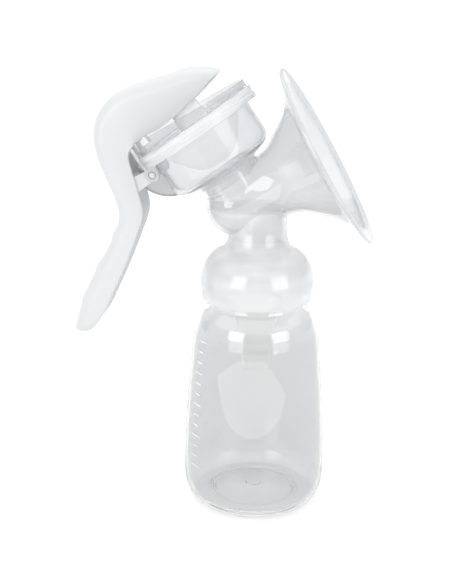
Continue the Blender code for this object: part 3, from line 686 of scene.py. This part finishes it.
def handle_edges(per_span):
    """The back and the open edge of the handle, from the beak's tip to the foot of the grip."""
    back = spline([(-16.4, 172.0), (-21.5, 172.8), (-28.0, 172.6), (-34.5, 170.4), (-43.0, 167.7),
                   (-51.0, 165.0), (-57.0, 160.8), (-61.2, 155.2), (-63.1, 148.5), (-62.5, 141.5),
                   (-60.0, 133.8), (-57.0, 127.1), (-54.8, 121.4), (-53.9, 116.6), (-54.8, 111.6),
                   (-58.1, 104.2), (-62.1, 96.6), (-66.2, 88.8), (-69.2, 81.2), (-71.6, 74.0),
                   (-72.4, 69.4)], per_span)
    ridged = []
    for x, z in back:
        lift = RIDGE * sum(math.exp(-((z - ridge) / RIDGE_HALF) ** 2) for ridge in RIDGES_Z)
        ridged.append((x - 0.9 * lift, z - 0.4 * lift))
    edge = spline([(-16.0, 170.9), (-18.8, 168.0), (-23.2, 163.1), (-31.2, 155.7), (-36.6, 151.2),
                   (-41.4, 148.6), (-45.4, 145.6), (-48.4, 142.2), (-48.8, 138.8), (-47.6, 134.4),
                   (-46.0, 128.6), (-44.4, 122.4), (-43.8, 118.4), (-44.6, 114.0), (-46.8, 107.9),
                   (-49.6, 100.4), (-52.7, 92.9), (-56.6, 84.2), (-60.0, 76.9), (-64.4, 70.8),
                   (-69.0, 68.5)], per_span)
    return ridged, edge


def handle_ring(back, edge, half, channel):
    """One closed U section: the outside up and over, then the channel back, whose depth is a share of it."""
    back = Vector((back[0], 0, back[1]))
    edge = Vector((edge[0], 0, edge[1]))
    depth = (back - edge).length
    out = (back - edge).normalized()

    def at(y, d):
        return BOTTLE @ (edge + out * d + Vector((0, y, 0)))

    def arch(wide, tall, corner, lip):
        corner = max(min(corner, tall * 0.95, wide * 0.9), 0.02)
        lip = min(lip, tall * 0.4)
        near = [(-wide + 0.3 * lip, 0.3 * lip), (-wide, lip)] if lip > 0 else []
        curve = []
        for i in range(10):
            angle = math.radians(90 * i / 9)
            across = wide - corner + corner * math.cos(angle)
            curve.append((-across, tall - corner + corner * math.sin(angle)))
        left = near + curve
        return left + [(-y, d) for y, d in reversed(left)]

    lip = min(0.55, depth * 0.2)
    outside = [(-half + lip, 0)] + arch(half, depth, min(BACK_CORNER, depth * 0.6), lip) + [(half - lip, 0)]
    inner_half = half - HANDLE_WALL
    tall = max((depth - HANDLE_WALL) * channel, 0.01)
    flare = inner_half + 0.45 * channel
    inside = arch(inner_half, tall, min(BACK_CORNER, depth * 0.6) - HANDLE_WALL * 0.6, 0)
    inside = [(-flare, 0)] + [(y, max(d, 0)) for y, d in inside] + [(flare, 0)]
    return [at(y, d) for y, d in outside] + [at(y, d) for y, d in reversed(inside)]


def make_handle():
    backs, edges = handle_edges(6)
    last = len(backs) - 1
    rings = []
    for i in range(last + 1):
        share = i / last
        half = BEAK_HALF + (GRIP_HALF - BEAK_HALF) * min(1, share * 2)
        taper = min(1, 0.55 + 6 * share, 0.55 + 6 * (1 - share))
        taper = 1 - (1 - taper) ** 2 * 1.4
        ends = min(i, last - i)
        channel = max(0.0, min(1.0, (ends - 2) / 4))
        channel = channel * channel * (3 - 2 * channel)
        rings.append(handle_ring(backs[i], edges[i], half * taper, channel))
    first, final = rings[0], rings[-1]
    for ring, at_start in ((first, True), (final, False)):
        middle = sum(ring, Vector()) / len(ring)
        beyond = (middle - sum(rings[3 if at_start else -4], Vector()) / len(ring)).normalized() * 0.25 * MM
        cap = [middle + (p - middle) * 0.8 + beyond for p in ring]
        if at_start:
            rings.insert(0, cap)
        else:
            rings.append(cap)
    handle = loft("lever", rings)
    steps = []
    ledge_top = BAR_Z - BAR_R - FIT
    ledge = rounded([(-3.4, ledge_top - 1.4, 0.3), (14.6, ledge_top - 1.4, 0.3), (14.6, ledge_top, 0.3),
                     (-3.4, ledge_top, 0.3)], True)
    root = (-34.5, 28.5)
    arm = capsule(PIVOT, 2.1, root, 3.4)
    for side in (-1, 1):
        low, high = sorted((side * 3.0, side * 9.0))
        steps.append(("UNION", plate("ledge", ledge, low, high, CUP, 0)))
        low, high = sorted((side * 5.4, side * 7.6))
        steps.append(("UNION", plate("arm", arm, low, high, CUP, 0.3)))
        low, high = sorted((side * 5.5, side * 8.5))
        steps.append(("UNION", rod("arm_root", 3.3, low, high, root, CUP, 0)))
        low, high = sorted((side * 5.8, side * LUG_OUT))
        steps.append(("UNION", rod("pin", PIN_R, low, high, PIVOT, CUP, 0.2)))
    return combine(handle, steps, 40)


def paint_inside_shade(obj, matrix, shade_material, keep):
    """Gives the faces that look towards the frame's axis a second, darker material: painted shade on the
    inside walls.
    """
    back = matrix.inverted()
    axis = (matrix.to_3x3() @ Vector((0, 0, 1))).normalized()
    obj.data.materials.append(shade_material)
    for face in obj.data.polygons:
        place = back @ face.center
        out = face.center - matrix.translation
        out -= axis * out.dot(axis)
        if out.length > 1e-6 and face.normal.dot(out.normalized()) < -0.2 and keep(place):
            face.material_index = 1


def finish_piece(obj, material, node, body=None):
    obj.data.materials.clear()
    obj.data.materials.append(material)
    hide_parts(node)
    if body:
        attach(obj, body)
    obj.visible_shadow = False     # the light falls through these clear, milky and thin white pieces
    return obj


WHITE = white_plastic()
SILICONE = soft_rubber("valve_rubber", (0.87, 0.875, 0.87), 0.8)
CONE = soft_rubber("cone_rubber", (0.95, 0.955, 0.95), 0.55)
MILKY = soft_rubber("milky_moulding", (0.96, 0.965, 0.97), 0.0)
# Dark grey painted shade for the inside of the funnel
BODY_INSIDE_SHADE = clear_plastic("body_inside_shade", (0.55, 0.555, 0.56), (0.50, 0.505, 0.51), 1.13, 0.03, 1.0, 0.35)
# Dark grey painted shade for the lid ring's inner wall
LID_INSIDE_SHADE = clear_plastic("lid_inside_shade", (0.72, 0.725, 0.735), (0.58, 0.585, 0.595), 1.22, 0.05, 0.9, 0.4)
# Dark grey painted shade for the heel, for the shadow under the handle
HEEL_SHADE = clear_plastic("heel_shade", (0.50, 0.50, 0.505), (0.46, 0.46, 0.465), 1.1, 0.1, 0.8, 0.2)
LUG_MILKY = clear_plastic("lug_moulding", (0.64, 0.645, 0.655), (0.58, 0.585, 0.595), 1.3, 0.2, 0.15, 0.3)
CUP_CLEAR = clear_plastic("cup_moulding", (0.80, 0.805, 0.815), (0.66, 0.665, 0.675), 1.22, 0.05, 0.85, 0.3)
LID_CLEAR = clear_plastic("lid_moulding", (0.90, 0.905, 0.915), (0.72, 0.725, 0.735), 1.22, 0.06, 0.6, 0.6)
BOTTLE_CLEAR = clear_plastic("bottle_moulding", (0.715, 0.718, 0.722), (0.60, 0.603, 0.608), 1.13, 0.02)
# Near-white, rough colour for the raised graduation marks: a painted highlight for the light they catch
MARK_HIGHLIGHT = clear_plastic("mark_highlight", (0.97, 0.97, 0.97), (0.92, 0.92, 0.92), 1.2, 0.3, 0.35)

# Painted light on the bottle: a lighter colour on the base's level faces and on the shoulder
paint_gathered_light(BOTTLE_CLEAR, (0.92, 0.923, 0.928))
bottle_piece = finish_piece(make_bottle(), BOTTLE_CLEAR, "bottle", "bottle")
bottle_piece.data.materials.append(MARK_HIGHLIGHT)
# the raised marks get the painted highlight material
for face in bottle_piece.data.polygons:
    x, y, z = (face.center - BOTTLE.translation) / MM
    if 16 < z < 72 and x < 0 and y < 0 and math.hypot(x, y) > radius_at(z) + 0.06:
        face.material_index = 1
finish_piece(make_neck_seal(), SILICONE, "neck_seal", "seal")
pump = finish_piece(make_pump_body(), body_plastic(), "pump_body", "head")
# Painted shade: the funnel's upper inside walls get the darker material
paint_inside_shade(pump, HORN, BODY_INSIDE_SHADE, lambda place: (HORN @ place).z > 0.112 and place.z < -1.2)
finish_piece(make_duckbill(), SILICONE, "duckbill_valve", "head")
finish_piece(make_vacuum_cup(), CUP_CLEAR, "vacuum_cup", "head")
lid_piece = finish_piece(make_lid_ring(), LID_CLEAR, "lid_ring", "head")
# Painted shade on the lid ring's inner wall above the bead
paint_inside_shade(lid_piece, CUP, LID_INSIDE_SHADE, lambda place: place.z > BEAD_TOP + 1.3)
lid_piece.data.materials.append(HEEL_SHADE)
lid_piece.data.materials.append(LUG_MILKY)
in_cup = CUP.inverted()
for face in lid_piece.data.polygons:
    place = in_cup @ face.center
    # painted shade: the heel's faces get the dark heel material
    if place.z < LID_FOOT + 0.5 and abs(place.y) < 2.5:
        face.material_index = 2
    elif place.z < 33 and abs(place.y) > 7.8 and place.x < -18 and abs(place.y) < 10:
        face.material_index = 3
    # painted shade on the inner face above the step as well
    elif place.z > LID_STEP + 0.1 and math.hypot(place.x, place.y) < 24.4:
        face.material_index = 1
finish_piece(make_pull_stem(), MILKY, "pull_stem", "piston")
finish_piece(make_handle(), WHITE, "handle", "lever")
cone = finish_piece(make_diaphragm(), CONE, "diaphragm")
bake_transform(cone)


# Floor, light and camera

SOFTBOX_DISTANCE = 0.6
CAMERA_AT = (0.045171, -0.4, 0.209375)
CAMERA_LENS = 65.55
CAMERA_YAW = math.radians(6.212)
CAMERA_PITCH = math.radians(17.076)
CAMERA_ROLL = math.radians(0.631)


def make_stage():
    floor = bmesh.new()
    ring = [floor.verts.new((x, y, 0)) for x, y in ((-FLOOR_REACH, -FLOOR_REACH), (FLOOR_REACH, -FLOOR_REACH),
                                                    (FLOOR_REACH, FLOOR_REACH), (-FLOOR_REACH, FLOOR_REACH))]
    floor.faces.new(ring)
    obj = new_object("floor", floor)
    material, node = shader("floor_paper", (0.74, 0.74, 0.74), 0.9, Emission_Strength=0.30)
    node.inputs["Emission Color"].default_value = (1, 1, 1, 1)
    node.inputs["Specular IOR Level"].default_value = 0.0
    obj.data.materials.append(material)


def make_world():
    world = bpy.data.worlds.new("studio")
    bpy.context.scene.world = world
    world.use_nodes = True
    nodes, links = world.node_tree.nodes, world.node_tree.links
    background = nodes["Background"]
    place = nodes.new("ShaderNodeTexCoord")
    split = nodes.new("ShaderNodeSeparateXYZ")
    links.new(place.outputs["Generated"], split.inputs["Vector"])
    height = nodes.new("ShaderNodeValToRGB")
    height.color_ramp.elements[0].position = 0.0
    height.color_ramp.elements[0].color = (0.86, 0.865, 0.87, 1)
    height.color_ramp.elements[1].position = 0.8
    height.color_ramp.elements[1].color = (1, 1, 1, 1)
    links.new(split.outputs["Z"], height.inputs["Fac"])
    links.new(height.outputs["Color"], background.inputs["Color"])
    background.inputs["Strength"].default_value = 1.0


def area_light(name, size, power):
    light = bpy.data.lights.new(name, "AREA")
    light.shape = "RECTANGLE"
    light.size, light.size_y = size
    light.energy = power
    obj = bpy.data.objects.new(name, light)
    bpy.context.scene.collection.objects.link(obj)
    obj.visible_diffuse = False     # these only give the highlights; the room gives the light
    return obj


def make_softbox(name, azimuth, elevation, size, power):
    obj = area_light(name, size, power)
    a, e = math.radians(azimuth), math.radians(elevation)
    away = Vector((math.sin(a) * math.cos(e), -math.cos(a) * math.cos(e), math.sin(e)))
    obj.location = Vector((0.01, 0, 0.09)) + away * SOFTBOX_DISTANCE
    obj.rotation_mode = "QUATERNION"
    obj.rotation_quaternion = away.to_track_quat("Z", "Y")


def make_card():
    """A pale card lying in front, which only the glossy faces mirror."""
    obj = area_light("card", (0.41, 0.47), 0.65)
    obj.location = (-0.005, -0.365, 0.001)
    obj.rotation_euler = (math.pi, 0, 0)
    obj.visible_camera = False
    obj.visible_transmission = False


def make_overhead():
    """A broad, soft light from above that keeps the floor white."""
    light = bpy.data.lights.new("overhead", "SUN")
    light.energy = 1.1
    light.angle = math.radians(120)
    obj = bpy.data.objects.new("overhead", light)
    bpy.context.scene.collection.objects.link(obj)
    obj.location = (0, 0, 1)


def make_camera():
    yaw, pitch, roll = CAMERA_YAW, CAMERA_PITCH, CAMERA_ROLL
    forward = Vector((-math.sin(yaw) * math.cos(pitch), math.cos(yaw) * math.cos(pitch), -math.sin(pitch)))
    right = Vector((math.cos(yaw), math.sin(yaw), 0))
    up = right.cross(forward)
    image_right = right * math.cos(roll) + up * math.sin(roll)
    image_up = up * math.cos(roll) - right * math.sin(roll)
    data = bpy.data.cameras.new("camera")
    data.lens = CAMERA_LENS
    data.clip_start = 0.01
    camera = bpy.data.objects.new("camera", data)
    bpy.context.scene.collection.objects.link(camera)
    turn = Matrix((image_right, image_up, -forward)).transposed()
    camera.matrix_world = Matrix.Translation(CAMERA_AT) @ turn.to_4x4()
    bpy.context.scene.camera = camera


make_stage()
make_world()
make_softbox("softbox_left", -33, 15, (0.31, 0.37), 1.1)
make_softbox("softbox_right", 52, 14, (0.36, 0.36), 1.1)
make_card()
make_overhead()
make_camera()
bpy.context.scene.view_settings.view_transform = "Standard"
